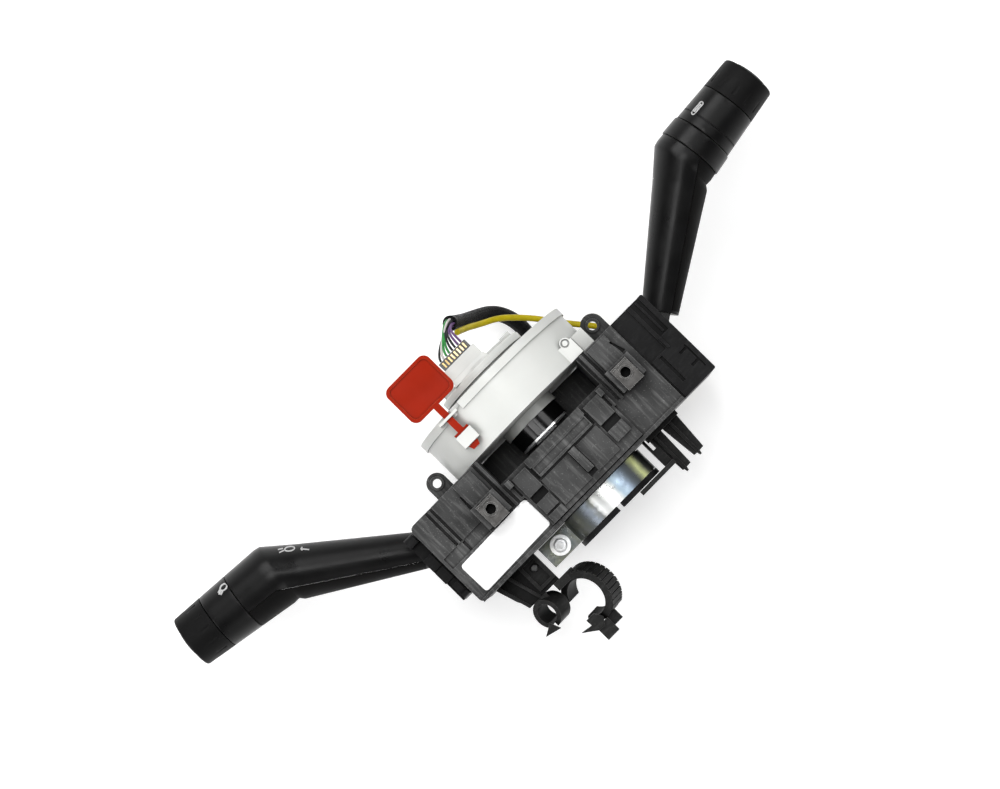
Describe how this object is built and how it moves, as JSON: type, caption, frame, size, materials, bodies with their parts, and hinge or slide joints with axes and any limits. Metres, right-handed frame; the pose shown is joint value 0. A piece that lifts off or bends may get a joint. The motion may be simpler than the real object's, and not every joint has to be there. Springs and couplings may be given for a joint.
{
  "type": "combination stalk switch",
  "caption": "Steering column combination switch: two stalks with turning knobs and push buttons, clock spring with red transport key, column clamp, cable clips and leads.",
  "frame": {"origin": "on the steering column axis, in the middle of the collar that the clamp band closes", "axes": "+X along the right-hand stalk as seen, +Y along the column towards the driver, +Z towards the side with the two shroud screw nuts"},
  "size_m": [0.4024, 0.1712, 0.097],
  "materials": {
    "carrier_grey": "satin glass-filled nylon",
    "black_moulding": "satin moulded nylon",
    "lever_black": "fine leather-grained soft black",
    "knob_black": "matt black",
    "black_gloss": "polished black acetal",
    "white_moulding": "satin white acetal",
    "natural_nylon": "natural nylon",
    "red_plastic": "satin red polypropylene",
    "zinc_steel": "zinc plated and yellow passivated",
    "bright_steel": "zinc plated",
    "phosphated_steel": "dark phosphated spring steel",
    "circuit_board": "solder-masked glass epoxy",
    "brass": "plain",
    "wire_insulation": "thin-wall cable insulation",
    "ribbon_film": "polyester film over copper",
    "braided_sleeve": "woven cable sleeve",
    "yellow_insulation": "smooth yellow tubing"
  },
  "bodies": {
    "column_unit": {"carrier": "carrier_grey", "front_cover": "carrier_grey", "column_collar": "black_moulding", "clamp_band": "zinc_steel", "clamp_bolt": "bright_steel", "clamp_nut": "bright_steel", "clip_nuts": "phosphated_steel", "left_housing": "black_moulding", "right_housing": "black_moulding", "left_housing_lid": "black_moulding", "right_housing_lid": "black_moulding", "left_contact_board": "circuit_board", "right_contact_board": "circuit_board", "left_bezel": "black_moulding", "clock_spring_case": "white_moulding", "clock_spring_cover": "white_moulding", "ribbon_cable": "ribbon_film", "back_cover": "black_moulding", "control_board": "circuit_board", "socket_pins": "brass", "harness_bracket": "black_moulding", "bracket_screw": "bright_steel", "large_cable_clip": "black_moulding", "small_cable_clip": "black_moulding", "guide_prongs": "black_moulding", "black_lead": "braided_sleeve", "yellow_lead": "yellow_insulation", "plug_wires": "wire_insulation", "black_connector": "black_moulding", "yellow_connector": "yellow_insulation"},
    "left_turn_yoke": {"left_yoke": "natural_nylon"},
    "left_lever": {"left_lever": "lever_black", "left_lever_strip": "lever_black", "left_detent_spring": "bright_steel"},
    "left_fog_ring": {"left_fog_ring": "lever_black"},
    "left_light_knob": {"left_light_knob": "knob_black"},
    "left_button": {"left_button": "knob_black"},
    "left_plunger": {"left_plunger": "natural_nylon"},
    "right_stroke_yoke": {"right_yoke": "natural_nylon"},
    "right_lever": {"right_lever": "lever_black", "right_lever_strip": "lever_black", "right_head_collar": "lever_black", "right_detent_spring": "bright_steel"},
    "right_delay_ring": {"right_delay_ring": "lever_black"},
    "right_end_knob": {"right_end_knob": "knob_black"},
    "right_button": {"right_button": "knob_black"},
    "right_plunger": {"right_plunger": "natural_nylon"},
    "rotor": {"rotor": "white_moulding", "rotor_plug": "black_gloss", "plug_contacts": "brass", "cancel_cam": "black_gloss", "cam_clip": "bright_steel"},
    "transport_key": {"transport_key": "red_plastic"}
  },
  "joints": [
    {"name": "left_turn", "type": "hinge", "parent": "column_unit", "child": "left_turn_yoke", "pos_m": [-0.066, 0.03564, 0], "axis": [0, 1, 0], "range_deg": [-10, 10]},
    {"name": "left_pull", "type": "hinge", "parent": "left_turn_yoke", "child": "left_lever", "pos_m": [-0.066, 0.03564, 0], "axis": [0, 0, -1], "range_deg": [0, 7], "stiffness_Nm_per_rad": 3},
    {"name": "right_stroke", "type": "hinge", "parent": "column_unit", "child": "right_stroke_yoke", "pos_m": [0.066, 0.03564, 0], "axis": [0, 1, 0], "range_deg": [-8, 20]},
    {"name": "right_pull", "type": "hinge", "parent": "right_stroke_yoke", "child": "right_lever", "pos_m": [0.066, 0.03564, 0], "axis": [0, 0, 1], "range_deg": [0, 7], "stiffness_Nm_per_rad": 3},
    {"name": "left_fog_turn", "type": "hinge", "parent": "left_lever", "child": "left_fog_ring", "pos_m": [-0.17447, 0.09511, 0], "axis": [-0.9923, 0.1236, 0], "range_deg": [0, 30]},
    {"name": "left_light_turn", "type": "hinge", "parent": "left_lever", "child": "left_light_knob", "pos_m": [-0.19035, 0.09709, 0], "axis": [-0.9923, 0.1236, 0], "range_deg": [0, 60]},
    {"name": "right_delay_turn", "type": "hinge", "parent": "right_lever", "child": "right_delay_ring", "pos_m": [0.17248, 0.09486, 0], "axis": [0.9923, 0.1236, 0], "range_deg": [0, 60]},
    {"name": "right_knob_turn", "type": "hinge", "parent": "right_lever", "child": "right_end_knob", "pos_m": [0.19035, 0.09709, 0], "axis": [0.9923, 0.1236, 0], "range_deg": [-20, 20]},
    {"name": "left_button_push", "type": "slide", "parent": "left_lever", "child": "left_button", "axis": [0.9923, -0.1236, 0], "range_m": [0, 0.0015], "stiffness_N_per_m": 1500, "springref_m": -0.001},
    {"name": "left_detent_slide", "type": "slide", "parent": "left_lever", "child": "left_plunger", "axis": [-1, 0, 0], "range_m": [0, 0.0015], "stiffness_N_per_m": 2500, "springref_m": -0.001, "deforming": ["left_detent_spring"]},
    {"name": "right_button_push", "type": "slide", "parent": "right_lever", "child": "right_button", "axis": [-0.9923, -0.1236, 0], "range_m": [0, 0.0015], "stiffness_N_per_m": 1500, "springref_m": -0.001},
    {"name": "right_detent_slide", "type": "slide", "parent": "right_lever", "child": "right_plunger", "axis": [1, 0, 0], "range_m": [0, 0.0015], "stiffness_N_per_m": 2500, "springref_m": -0.001, "deforming": ["right_detent_spring"]},
    {"name": "rotor_turn", "type": "hinge", "parent": "column_unit", "child": "rotor", "pos_m": [0, 0.07, 0], "axis": [0, 1, 0], "range_deg": [-900, 900]},
    {"name": "key_draw", "type": "slide", "parent": "column_unit", "child": "transport_key", "axis": [0, 1, 0], "range_m": [0, 0.03]}
  ]
}
